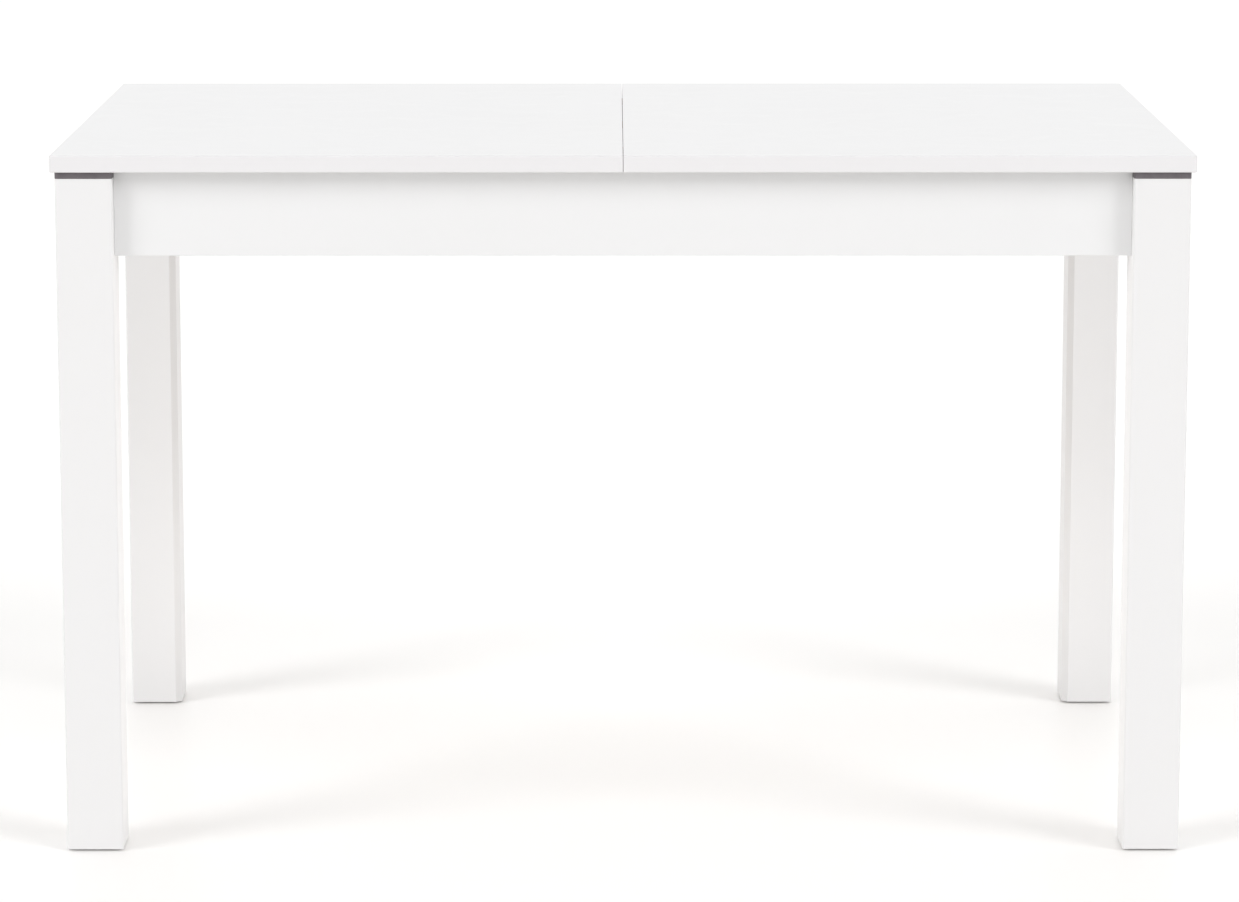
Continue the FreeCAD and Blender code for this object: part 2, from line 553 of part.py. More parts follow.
front_strip = outline(
    "front_strip", "XY",
    [(SEAM_X, f"-{OUTER_Y}"), (OUTER_X, f"-{OUTER_Y}"), (OUTER_X, f"-{INNER_Y}"), (SEAM_X, f"-{INNER_Y}")],
    "board_thick", ("0", "0", BOARD_UNDER))
end_strip = outline(
    "end_strip", "XY",
    [(INNER_X, f"-{INNER_Y}"), (OUTER_X, f"-{INNER_Y}"), (OUTER_X, INNER_Y), (INNER_X, INNER_Y)],
    "board_thick", ("0", "0", BOARD_UNDER))
seam_strip = box("seam_strip", ("band_thick", f"2 * {INNER_Y}", "board_thick"),
                 (SEAM_X, f"-{INNER_Y}", BOARD_UNDER))
outer_strips = group("outer_strips", [
    front_and_rear("long_strips", rounded(front_strip, "band_round", on_front_face)),
    rounded(end_strip, "band_round", on_end_face)])

# Half tops: coated boards, drilled from below for the battens and latches and at the seam.
half_board = box("half_board", (f"{INNER_X} - {SEAM_X} - band_thick", f"2 * {INNER_Y}", "board_thick"),
                 (f"{SEAM_X} + band_thick", f"-{INNER_Y}", BOARD_UNDER))
batten_holes = front_and_rear("batten_holes", group("batten_holes_front", batten_pilots))


def half_top(side, pieces, latch_bores, seam_bores):
    """The board and edge bands of one half, from its undrilled board, strips and batten holes."""
    board, seam_edge, outer_edges, screw_holes = pieces
    node(f"top_panel_{side}", cut(f"top_panel_{side}", board, [screw_holes, latch_bores] + seam_bores))
    node(f"edge_bands_{side}", group(f"edge_bands_{side}", [
        outer_edges, cut(f"seam_band_{side}", seam_edge, seam_bores)]))


right_pieces = [half_board, seam_strip, outer_strips, batten_holes]
left_pieces = [mirrored(piece.Name + "_left", piece, "X") for piece in right_pieces]
half_top("right", right_pieces, stud_bores, seam_roots)
half_top("left", left_pieces, pivot_bores, seam_sockets)

# Extension leaf: stored under the closed tops, turned a quarter so that its long side runs along X.
LEAF_SIDE = "(leaf_width / 2)"
LEAF_EDGE = f"({LEAF_SIDE} - band_thick)"
leaf_board = box("leaf_board", (f"2 * {INNER_Y}", f"2 * {LEAF_EDGE}", "board_thick"),
                 (f"-{INNER_Y}", f"-{LEAF_EDGE}", LEAF_BASE))
leaf_dowels = []
leaf_roots = []
leaf_sockets = []
for step in (-1, 0, 1):
    along = f"{step} * pin_spacing"
    leaf_dowels.append(rod(f"leaf_dowel_{step + 1}", "pin_radius", "pin_root + pin_reach",
                           (along, f"-{LEAF_SIDE} + pin_root", LEAF_MIDDLE), "-Y"))
    leaf_roots.append(rod(f"leaf_root_{step + 1}", "pin_radius + play", "pin_root + play",
                          (along, f"-{LEAF_SIDE} + pin_root + play", LEAF_MIDDLE), "-Y"))
    leaf_sockets.append(rod(f"leaf_socket_{step + 1}", "socket_radius", "socket_depth",
                            (along, LEAF_SIDE, LEAF_MIDDLE), "-Y"))
node("leaf_dowels", group("leaf_dowels", leaf_dowels))
node("leaf_panel", cut("leaf_panel", leaf_board, leaf_roots + leaf_sockets))
dowel_strip = box("dowel_strip", ("top_depth", "band_thick", "board_thick"),
                  (f"-{OUTER_Y}", f"-{LEAF_SIDE}", LEAF_BASE))
socket_strip = box("socket_strip", ("top_depth", "band_thick", "board_thick"),
                   (f"-{OUTER_Y}", LEAF_EDGE, LEAF_BASE))
leaf_end = outline(
    "leaf_end", "XY",
    [(INNER_Y, f"-{LEAF_EDGE}"), (OUTER_Y, f"-{LEAF_EDGE}"), (OUTER_Y, LEAF_EDGE), (INNER_Y, LEAF_EDGE)],
    "board_thick", ("0", "0", LEAF_BASE))
rounded(leaf_end, "band_round", lambda start, end: (
    min(start.x, end.x) > outer_y - 0.01 and abs(start.z - end.z) < 0.01))
node("leaf_edge_bands", group("leaf_edge_bands", [
    cut("dowel_band", dowel_strip, leaf_roots), cut("socket_band", socket_strip, leaf_sockets),
    left_and_right("leaf_ends", leaf_end)]))

doc.recompute()
faults = [item.Name for item in doc.Objects if {"Invalid", "Error"} & set(item.State)]
faults += [piece.Label for piece in nodes if piece.Shape.isNull() or not piece.Shape.isValid()]
if faults:
    raise SystemExit(f"failed objects: {faults}")
os.makedirs("parts", exist_ok=True)
for piece in nodes:
    piece.Shape.exportStep(f"parts/{piece.Label}.step")
print(len(nodes), "sub-parts written")
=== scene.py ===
import math

import bmesh
import bpy
from mathutils import Euler, Matrix, Vector


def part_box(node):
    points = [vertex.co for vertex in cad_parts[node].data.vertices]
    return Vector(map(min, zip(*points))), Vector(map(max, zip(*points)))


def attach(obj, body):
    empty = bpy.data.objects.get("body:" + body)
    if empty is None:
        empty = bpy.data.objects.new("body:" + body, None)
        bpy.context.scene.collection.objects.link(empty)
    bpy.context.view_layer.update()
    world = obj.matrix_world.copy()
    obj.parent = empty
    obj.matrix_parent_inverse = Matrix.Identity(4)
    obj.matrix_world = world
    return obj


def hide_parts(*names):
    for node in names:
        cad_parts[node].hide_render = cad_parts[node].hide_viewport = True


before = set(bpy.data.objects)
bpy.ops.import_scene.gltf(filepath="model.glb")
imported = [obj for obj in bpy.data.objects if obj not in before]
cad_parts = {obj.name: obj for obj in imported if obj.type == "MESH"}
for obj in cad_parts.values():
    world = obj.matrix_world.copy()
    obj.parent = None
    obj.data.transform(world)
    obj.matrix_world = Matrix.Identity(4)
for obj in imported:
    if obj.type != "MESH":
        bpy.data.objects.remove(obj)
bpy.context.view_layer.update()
MM = 0.001

# Legs: four solid square posts wrapped in satin white foil. The wrapping eases three of each
# post's long edges; the fourth, towards the middle of the table, is planed to a wide bevel that
# takes the hanger bolts. The end grain is sealed and its edges are broken with fine paper.


class Value:
    """A varying number in a shader; arithmetic on it adds Math nodes."""

    def __init__(self, tree, socket):
        self.tree = tree
        self.socket = socket

    def maths(self, operation, *operands):
        node = self.tree.nodes.new("ShaderNodeMath")
        node.operation = operation
        for entry, operand in zip(node.inputs, operands):
            if isinstance(operand, Value):
                self.tree.links.new(operand.socket, entry)
            else:
                entry.default_value = operand
        return Value(self.tree, node.outputs[0])

    def __add__(self, other):
        return self.maths("ADD", self, other)

    def __radd__(self, other):
        return self.maths("ADD", other, self)

    def __sub__(self, other):
        return self.maths("SUBTRACT", self, other)

    def __rsub__(self, other):
        return self.maths("SUBTRACT", other, self)

    def __mul__(self, other):
        return self.maths("MULTIPLY", self, other)

    def __rmul__(self, other):
        return self.maths("MULTIPLY", other, self)


class Finish:
    """A material being made up on object coordinates, with its Principled shader."""

    def __init__(self, name, **constants):
        self.material = bpy.data.materials.new(name)
        self.material.use_nodes = True
        self.tree = self.material.node_tree
        self.shader = self.tree.nodes["Principled BSDF"]
        for socket, constant in constants.items():
            self.shader.inputs[socket.replace("_", " ")].default_value = constant
        self.place = self.node("ShaderNodeTexCoord", {}, {}).outputs["Object"]

    def node(self, kind, settings, entries):
        """Any other node: its type, its settings, and the values or links of its sockets."""
        node = self.tree.nodes.new(kind)
        for setting, choice in settings.items():
            setattr(node, setting, choice)
        for entry, source in entries.items():
            socket = node.inputs[entry]
            if isinstance(source, Value):
                self.tree.links.new(source.socket, socket)
            elif isinstance(source, bpy.types.NodeSocket):
                self.tree.links.new(source, socket)
            else:
                socket.default_value = source
        return node

    def noise(self, cell, detail=2.0, stretch=(1, 1, 1), distortion=0.0):
        """Noise from 0 to 1 whose cells have this size in metres, drawn out along the axes."""
        scaled = self.node("ShaderNodeVectorMath", {"operation": "MULTIPLY"},
                           {0: self.place, 1: tuple(1 / length for length in stretch)})
        pattern = self.node("ShaderNodeTexNoise", {}, {
            "Vector": scaled.outputs[0], "Scale": 1 / cell, "Detail": detail, "Distortion": distortion})
        return Value(self.tree, pattern.outputs[0])

    def spread(self, value, low, high, to_low=0.0, to_high=1.0):
        """One range of a value, mapped on another and held to it."""
        node = self.node("ShaderNodeMapRange", {}, {"Value": value, "From Min": low, "From Max": high,
                                                    "To Min": to_low, "To Max": to_high})
        return Value(self.tree, node.outputs[0])

    def blend(self, share, first, second):
        """A colour between two others."""
        return self.node("ShaderNodeMix", {"data_type": "RGBA"}, {0: share, 6: first, 7: second}).outputs[2]

    def made(self, colour, roughness, height, depth, coat=None):
        """Join the patterns to the shader; depth is how deep the relief goes, in metres."""
        bump = self.node("ShaderNodeBump", {}, {"Height": height, "Distance": depth})
        sources = {"Base Color": colour, "Roughness": roughness.socket, "Normal": bump.outputs[0]}
        for entry, source in sources.items():
            self.tree.links.new(source, self.shader.inputs[entry])
        if coat is not None:
            self.tree.links.new(coat.socket, self.shader.inputs["Coat Weight"])
        return self.material


def satin_white(name, colour, roughness, peel, depth):
    """A white coating: slow clouds of tone and gloss, faint handling marks and an orange peel."""
    finish = Finish(name, IOR=1.47, Coat_Roughness=0.22)
    clouds = finish.noise(0.34, 3.0)
    marks = finish.spread(finish.noise(0.05, 5.0, distortion=0.8), 0.50, 0.72)
    peel_bumps = finish.noise(peel, 1.5)
    dimmer = tuple(channel * shade for channel, shade in zip(colour, (0.985, 0.983, 0.978)))
    tone = finish.blend(0.7 * clouds + 0.3 * marks, (*colour, 1.0), (*dimmer, 1.0))
    gloss = roughness + 0.05 * clouds + 0.06 * marks + 0.02 * peel_bumps
    return finish.made(tone, gloss, peel_bumps, depth, 0.12 - 0.08 * marks)


def ring_above(shape, edges, rise, scale=1.0, centre=(0, 0)):
    """Draw the wall of a loop of edges up by a rise, and give the new loop at its top."""
    grown = bmesh.ops.extrude_edge_only(shape, edges=edges)["geom"]
    corners = {item for item in grown if isinstance(item, bmesh.types.BMVert)}
    bmesh.ops.translate(shape, vec=(0, 0, rise), verts=list(corners))
    middle = Matrix.Translation((-centre[0], -centre[1], 0))
    bmesh.ops.scale(shape, vec=(scale, scale, 1), space=middle, verts=list(corners))
    return [edge for edge in shape.edges if edge.verts[0] in corners and edge.verts[1] in corners]


def turned_to(shape, along):
    """Lay a shape that was drawn upright along X or Y: its (x, y) become (y, z) or (x, z)."""
    if along == "X":
        shape.transform(Matrix(((0, 0, 1, 0), (1, 0, 0, 0), (0, 1, 0, 0), (0, 0, 0, 1))))
    if along == "Y":
        shape.transform(Matrix(((1, 0, 0, 0), (0, 0, 1, 0), (0, 1, 0, 0), (0, 0, 0, 1))))
    shape.normal_update()
    bmesh.ops.recalc_face_normals(shape, faces=shape.faces[:])
    return shape


def eased(shape, width, segments=2, above=40):
    """Break every edge that turns by more than an angle in degrees."""
    sharp = [edge for edge in shape.edges if edge.calc_face_angle(0) > math.radians(above)]
    bmesh.ops.bevel(shape, geom=sharp, offset=width, segments=segments, profile=0.5, affect="EDGES",
                    clamp_overlap=True, material=-1)
    return shape


def block(outline, low, high, along="Z", rounds=(), bores=()):
    """A solid with one outline all along. Chosen corners of the outline are rounded.

    Each bore is its centre and the radius it has at successive levels; it is closed where it
    ends short of a face.
    """
    shape = bmesh.new()
    face = shape.faces.new([shape.verts.new((*corner, low)) for corner in outline])
    corners = list(face.verts)
    for radius, chosen in rounds:
        bmesh.ops.bevel(shape, geom=[corners[index] for index in chosen], offset=radius, segments=6,
                        profile=0.5, affect="VERTICES", clamp_overlap=True, material=-1)
    bmesh.ops.delete(shape, geom=shape.faces[:], context="FACES_ONLY")
    below = shape.edges[:]
    above = ring_above(shape, below, high - low)
    for centre, steps in bores:
        radius, level = steps[0]
        mouth = bmesh.ops.create_circle(shape, segments=24, radius=radius,
                                        matrix=Matrix.Translation((*centre, level)))["verts"]
        rim = [edge for edge in shape.edges if edge.verts[0] in mouth and edge.verts[1] in mouth]
        if level == low:
            below += rim
        else:
            shape.faces.new(mouth)
        for wider, higher in steps[1:]:
            rim = ring_above(shape, rim, higher - level, wider / radius, centre)
            radius, level = wider, higher
        if level == high:
            above += rim
        else:
            bmesh.ops.edgeloop_fill(shape, edges=rim)
    for ends in (below, above):
        bmesh.ops.triangle_fill(shape, use_beauty=True, edges=ends)
    bmesh.ops.dissolve_limit(shape, angle_limit=0.005, verts=shape.verts[:], edges=shape.edges[:])
    return turned_to(shape, along)


def mirrored(shape, left=False, rear=False):
    """A copy of a front right-hand shape for another corner or side of the table."""
    copy = shape.copy()
    copy.transform(Matrix.Diagonal((-1 if left else 1, -1 if rear else 1, 1, 1)))
    copy.normal_update()
    bmesh.ops.recalc_face_normals(copy, faces=copy.faces[:])
    return copy


def together(*shapes):
    """Several solids kept side by side in one shape."""
    whole = bmesh.new()
    for shape in shapes:
        carrier = bpy.data.meshes.new("carrier")
        shape.to_mesh(carrier)
        whole.from_mesh(carrier)
        bpy.data.meshes.remove(carrier)
    return whole


def four_of(shape):
    """A front right-hand shape with its three mirror images."""
    return together(*[mirrored(shape, left, rear) for left in (False, True) for rear in (False, True)])


def piece(node, shape, body, material):
    """Show a finished shape instead of the CAD node, riding on that node's body."""
    mesh = bpy.data.meshes.new(f"{node}_mesh")
    shape.to_mesh(mesh)
    mesh.materials.append(material)
    mesh.shade_smooth()
    mesh.set_sharp_from_angle(angle=math.radians(46))
    shown = bpy.data.objects.new(f"{node}_piece", mesh)
    bpy.context.scene.collection.objects.link(shown)
    shown.modifiers.new("flat faces stay flat", "WEIGHTED_NORMAL").keep_sharp = True
    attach(shown, body)
    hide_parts(node)
    return shown


def corner_pieces(name, shape, body, material):
    """One piece at each corner; the body's name may depend on the side."""
    for rear, end in enumerate(("front", "rear")):
        for left, side in enumerate(("right", "left")):
            corner = mirrored(shape, left, rear)
            piece(f"{name}_{end}_{side}", corner, body.format(side=side), material)


leg_foil = satin_white("leg_foil", (0.785, 0.779, 0.778), 0.34, 0.0016, 0.00002)
leg_low, leg_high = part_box("leg_front_right")
LEG_BEVEL = 7 * MM
LEG_ROUND = 2.2 * MM
leg_outline = [(leg_low.x, leg_low.y), (leg_high.x, leg_low.y), (leg_high.x, leg_high.y),
               (leg_low.x + LEG_BEVEL, leg_high.y), (leg_low.x, leg_high.y - LEG_BEVEL)]
leg_rounds = [(LEG_ROUND, (0, 1, 2))]
leg = eased(block(leg_outline, leg_low.z, leg_high.z, rounds=leg_rounds), 0.6 * MM, 3, above=30)
corner_pieces("leg", leg, "frame", leg_foil)

# Leg spacers: moulded dark grey plates on which the half tops glide, each held down on its leg by
# one wood screw in a counterbore. The mould leaves a fine spark-eroded grain and eased edges.


def moulded(name, colour, shade, roughness, grain_depth):
    """Moulded plastic: a fine grain from the tool and slow flow marks."""
    finish = Finish(name, IOR=1.5)
    grain = finish.noise(0.0005, 2.0)
    flow = finish.spread(finish.noise(0.02, 3.0, distortion=1.5), 0.3, 0.7)
    tone = finish.blend(flow, colour, (*[channel * shade for channel in colour[:3]], 1.0))
    return finish.made(tone, roughness + 0.12 * grain + 0.05 * flow, grain, grain_depth)


spacer_plastic = moulded("spacer_plastic", (0.15, 0.135, 0.145, 1.0), 0.85, 0.46, 0.00005)
spacer_low, spacer_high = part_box("leg_spacer_front_right")
leg_middle = (leg_low.x / 2 + leg_high.x / 2, leg_low.y / 2 + leg_high.y / 2)
screw_seat = spacer_low.z + 3.5 * MM
spacer = block(leg_outline, spacer_low.z, spacer_high.z, rounds=leg_rounds, bores=[
    (leg_middle, [(1.95 * MM, spacer_low.z), (1.95 * MM, screw_seat), (5 * MM, screw_seat),
                  (5 * MM, spacer_high.z)])])
corner_pieces("leg_spacer", eased(spacer, 0.35 * MM), "frame", spacer_plastic)


def plated(name, colour, roughness, lines=(1, 1, 1), depth=0.000006, grease=0.0):
    """Zinc-plated steel: drawing lines, spangled tone and, where greased, dull smears."""
    finish = Finish(name, Metallic=1.0)
    spangle = finish.noise(0.004, 4.0, distortion=0.7)
    drawn = finish.noise(0.0006, 3.0, stretch=lines)
    smear = finish.spread(finish.noise(0.02, 4.0, distortion=1.2), 0.48, 0.62)
    tone = finish.blend(0.55 * spangle + 0.45 * drawn, (*[channel * 0.80 for channel in colour], 1.0),
                        (*colour, 1.0))
    gloss = roughness + 0.10 * drawn + 0.06 * spangle + (0.04 + grease) * smear
    return finish.made(tone, gloss, drawn, depth)


def aimed(shape, at, way):
    """Turn a shape that was drawn along +Z to another way and set it down at a point."""
    turn = Vector((0, 0, 1)).rotation_difference(Vector(way)).to_matrix().to_4x4()
    shape.transform(Matrix.Translation(at) @ turn)
    shape.normal_update()
    bmesh.ops.recalc_face_normals(shape, faces=shape.faces[:])
    return shape


def recessed_head(radius, rise):
    """A pan head below the origin, with a cross recess; gives the shape and its upper rim."""
    shape = bmesh.new()
    arm, half = radius * 0.55, radius * 0.15
    cross = [(arm, -half), (arm, half), (half, half), (half, arm), (-half, arm), (-half, half),
             (-arm, half), (-arm, -half), (-half, -half), (-half, -arm), (half, -arm), (half, -half)]
    mouth = [shape.verts.new((*corner, -rise)) for corner in cross]
    slots = [shape.edges.new(pair) for pair in zip(mouth, mouth[1:] + mouth[:1])]
    bmesh.ops.edgeloop_fill(shape, edges=ring_above(shape, slots, rise * 0.7, 0.7))
    disc = bmesh.ops.create_circle(shape, segments=24, radius=radius * 0.72,
                                   matrix=Matrix.Translation((0, 0, -rise)))["verts"]
    rim = [edge for edge in shape.edges if edge.verts[0] in disc and edge.verts[1] in disc]
    bmesh.ops.triangle_fill(shape, use_beauty=True, edges=slots + rim)
    for share, wider in ((0.20, 1.22), (0.35, 1.1385), (0.45, 1.0)):
        rim = ring_above(shape, rim, rise * share, wider)
    return shape, rim


def wood_screw(at, way, length=14 * MM, radius=1.9 * MM, head=3.5 * MM, rise=1.6 * MM):
    """A cross-recess screw from its head's seat; the way is where its point goes."""
    shape, rim = recessed_head(head, rise)
    rim = ring_above(shape, rim, 0, 0.8 * radius / head)
    for turn in range(6):
        rim = ring_above(shape, rim, (length - 3 * MM) / 12, 1.25)
        rim = ring_above(shape, rim, (length - 3 * MM) / 12, 0.8)
    bmesh.ops.edgeloop_fill(shape, edges=ring_above(shape, rim, 2.9 * MM, 0.12))
    return aimed(shape, at, way)


fastener_zinc = plated("fastener_zinc", (0.66, 0.645, 0.60), 0.28)
DOWN = (0, 0, -1)
piece("leg_spacer_screws", four_of(wood_screw((*leg_middle, screw_seat), DOWN)), "frame", fastener_zinc)

# Foot glides: thin discs of pale moulded plastic under the legs, with rounded rims so that the
# table can be pushed across a floor.

glide_plastic = moulded("glide_plastic", (0.80, 0.80, 0.785, 1.0), 0.96, 0.38, 0.00003)
GLIDE_RADIUS = 20 * MM
glide = bmesh.new()
bmesh.ops.create_cone(glide, cap_ends=True, segments=64, radius1=GLIDE_RADIUS, radius2=GLIDE_RADIUS,
                      depth=leg_low.z, matrix=Matrix.Translation((*leg_middle, leg_low.z / 2)))
piece("foot_glides", four_of(eased(glide, 0.6 * MM, 3)), "frame", glide_plastic)

# Aprons: four chipboard rails on edge, faced with the same satin white melamine as the top. Each
# is held between two legs by glued beech dowels and drawn tight by the corner brackets.

board_coat = satin_white("board_coat", (0.79, 0.788, 0.788), 0.36, 0.0011, 0.000018)


def square_block(low, high, along="Z"):
    """A plain-sided block between two corners of a box."""
    if along == "X":
        return block([(low.y, low.z), (high.y, low.z), (high.y, high.z), (low.y, high.z)],
                     low.x, high.x, "X")
    if along == "Y":
        return block([(low.x, low.z), (high.x, low.z), (high.x, high.z), (low.x, high.z)],
                     low.y, high.y, "Y")
    return block([(low.x, low.y), (high.x, low.y), (high.x, high.y), (low.x, high.y)],
                 low.z, high.z)


for end in ("front", "rear"):
    apron = square_block(*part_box(f"long_apron_{end}"), "X")
    piece(f"long_apron_{end}", eased(apron, 0.5 * MM), "frame", board_coat)
for side in ("left", "right"):
    apron = square_block(*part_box(f"short_apron_{side}"), "Y")
    piece(f"short_apron_{side}", eased(apron, 0.5 * MM), "frame", board_coat)

# Apron dowels: fluted beech pins, two in each end of each apron, half in the apron and half in
# the leg. The flutes let the glue rise and the ends are chamfered so that they start easily.


def planed_wood(name, grain, light=(0.66, 0.46, 0.275), dark=(0.50, 0.315, 0.165)):
    """Planed beech: long growth figure, pores and the short dark flecks of its rays."""
    finish = Finish(name, IOR=1.46)
    along = {"X": (12, 1, 1), "Y": (1, 12, 1), "Z": (1, 1, 12)}[grain]
    figure = finish.noise(0.012, 4.0, along, distortion=0.9)
    pores = finish.noise(0.0009, 3.0, along)
    shorter = tuple(1 + (length - 1) / 6 for length in along)
    rays = finish.spread(finish.noise(0.0022, 2.0, shorter), 0.60, 0.70)
    tone = finish.blend(finish.spread(figure, 0.34, 0.68), (*light, 1.0), (*dark, 1.0))
    tone = finish.blend(0.35 * rays, tone, (0.33, 0.18, 0.085, 1.0))
    tone = finish.blend(0.22 * finish.spread(pores, 0.45, 0.62), tone, (0.42, 0.26, 0.14, 1.0))
    return finish.made(tone, 0.56 + 0.12 * pores - 0.08 * rays, pores + 0.4 * figure, 0.00009)


def dowel(start, end, radius=4 * MM):
    """A fluted pin with chamfered ends between two points."""
    start, end = Vector(start), Vector(end)
    shape = bmesh.new()
    bmesh.ops.create_cone(shape, cap_ends=True, segments=48, radius1=radius, radius2=radius,
                          depth=(end - start).length)
    upright = [edge for edge in shape.edges if abs(edge.verts[0].co.z - edge.verts[1].co.z) > radius]
    grooves = [vert for edge in upright[::4] for vert in edge.verts]
    bmesh.ops.scale(shape, vec=(0.94, 0.94, 1), verts=grooves)
    caps = [edge for edge in shape.edges if edge.calc_face_angle(0) > math.radians(60)]
    bmesh.ops.bevel(shape, geom=caps, offset=0.9 * MM, segments=1, profile=0.5, affect="EDGES",
                    clamp_overlap=True, material=-1)
    return aimed(shape, (start + end) / 2, end - start)


beech_along_x = planed_wood("beech_along_x", "X")
beech_along_y = planed_wood("beech_along_y", "Y")
apron_low, apron_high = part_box("long_apron_front")
end_low, end_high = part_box("short_apron_right")
apron_middle = (apron_low.z + apron_high.z) / 2
DOWEL_SPREAD = 22.5 * MM
DOWEL_HALF = 25 * MM
pins = []
for height in (apron_middle - DOWEL_SPREAD, apron_middle + DOWEL_SPREAD):
    across = (apron_low.y + apron_high.y) / 2
    pins.append(dowel((leg_low.x - DOWEL_HALF, across, height), (leg_low.x + DOWEL_HALF, across, height)))
    across = (end_low.x + end_high.x) / 2
    pins.append(dowel((across, leg_high.y - DOWEL_HALF, height), (across, leg_high.y + DOWEL_HALF, height)))
piece("apron_dowels", four_of(together(*pins)), "frame", beech_along_x)

# Corner brackets: pressed steel plates, zinc plated, bent to stand across each corner with a
# flange screwed on each apron. The two hanger bolts pass through the plate, which is drawn without holes.

pressed_zinc = plated("pressed_zinc", (0.70, 0.695, 0.675), 0.30, lines=(1, 1, 5))
bracket_low, bracket_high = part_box("corner_bracket_front_right")
PLATE_THICK = 2.5 * MM
BOLT_STANDOFF = 17 * MM
BOLT_SPREAD = 11 * MM
bevel_middle = Vector((leg_low.x + LEG_BEVEL / 2, leg_high.y - LEG_BEVEL / 2, apron_middle))
TO_MIDDLE = Vector((-1, 1, 0)).normalized()
plate_line = bevel_middle.x - bevel_middle.y - BOLT_STANDOFF * math.sqrt(2)


def bent_sheet(path, low, high, thickness, bend, along="Z", corner=0.0):
    """Sheet metal bent along a path, its thickness laid to the left of the way it runs."""
    shape = bmesh.new()
    knees = [shape.verts.new((*point, low)) for point in path]
    spine = [shape.edges.new(pair) for pair in zip(knees, knees[1:])]
    ring_above(shape, spine, high - low)
    if corner:
        tips = [vert for vert in shape.verts if len(vert.link_faces) == 1]
        bmesh.ops.bevel(shape, geom=tips, offset=corner, segments=5, profile=0.5, affect="VERTICES",
                        clamp_overlap=True, material=-1)
    folds = [edge for edge in shape.edges if len(edge.link_faces) == 2]
    bmesh.ops.bevel(shape, geom=folds, offset=bend, segments=4, profile=0.5, affect="EDGES",
                    clamp_overlap=True, material=-1)
    bmesh.ops.solidify(shape, geom=shape.faces[:], thickness=-thickness)
    return turned_to(shape, along)


inner_y = apron_high.y
inner_x = end_low.x
bracket_path = [(bracket_low.x, inner_y), (plate_line + inner_y, inner_y), (inner_x, inner_x - plate_line),
                (inner_x, bracket_high.y)]
bracket = bent_sheet(bracket_path, bracket_low.z, bracket_high.z, PLATE_THICK, 2.5 * MM, corner=7 * MM)
corner_pieces("corner_bracket", eased(bracket, 0.25 * MM, 1, above=60), "frame", pressed_zinc)
SCREW_SPREAD = 15 * MM
SCREW_INSET = 14 * MM
screws = []
for height in (apron_middle - SCREW_SPREAD, apron_middle + SCREW_SPREAD):
    screws.append(wood_screw((bracket_low.x + SCREW_INSET, inner_y + PLATE_THICK, height), (0, -1, 0)))
    screws.append(wood_screw((inner_x - PLATE_THICK, bracket_high.y - SCREW_INSET, height), (1, 0, 0)))
piece("corner_bracket_screws", four_of(together(*screws)), "frame", fastener_zinc)

# Hanger bolts: zinc-plated steel, threaded all along, driven into the legs' bevels. A washer and a
# hexagon nut on each one pull the leg into the corner between the aprons.

BOLT_RADIUS = 3.9 * MM
BOLT_LENGTH = 73 * MM
BOLT_BURIED = 40 * MM
PITCH = 1.25 * MM
WASHER_THICK = 1.6 * MM


def threaded_rod(at, way, length):
    """A helical thread, spun one profile at a time and cut off square at both ends."""
    shape = bmesh.new()
    points = [shape.verts.new((radius, 0, level)) for radius, level in (
        (BOLT_RADIUS - 0.7 * MM, -PITCH), (BOLT_RADIUS, -PITCH / 2), (BOLT_RADIUS - 0.7 * MM, 0))]
    profile = [shape.edges.new(pair) for pair in zip(points, points[1:])]
    turns = math.ceil(length / PITCH) + 1
    bmesh.ops.spin(shape, geom=points + profile, cent=(0, 0, 0), axis=(0, 0, 1), dvec=(0, 0, PITCH / 16),
                   angle=math.tau * turns, steps=16 * turns)
    bmesh.ops.remove_doubles(shape, verts=shape.verts[:], dist=PITCH / 100)
    for level, outward in ((0, (0, 0, -1)), (length, (0, 0, 1))):
        everything = shape.verts[:] + shape.edges[:] + shape.faces[:]
        bmesh.ops.bisect_plane(shape, geom=everything, plane_co=(0, 0, level), plane_no=outward,
                               clear_outer=True)
        rim = [edge for edge in shape.edges if edge.is_boundary and abs(edge.verts[0].co.z - level) < 1e-7
               and abs(edge.verts[1].co.z - level) < 1e-7]
        bmesh.ops.edgeloop_fill(shape, edges=rim)
    return aimed(shape, at, way)


def washer(at, way, radius, bore, height):
    """A flat ring with eased edges that stands on a point."""
    shape = bmesh.new()
    ends = [[], []]
    for size in (radius, bore):
        before = set(shape.edges)
        bmesh.ops.create_circle(shape, segments=48, radius=size)
        rim = [edge for edge in shape.edges if edge not in before]
        ends[0] += rim
        ends[1] += ring_above(shape, rim, height)
    for rims in ends:
        bmesh.ops.triangle_fill(shape, use_beauty=True, edges=rims)
    bmesh.ops.recalc_face_normals(shape, faces=shape.faces[:])
    return aimed(eased(shape, 0.25 * MM), at, way)


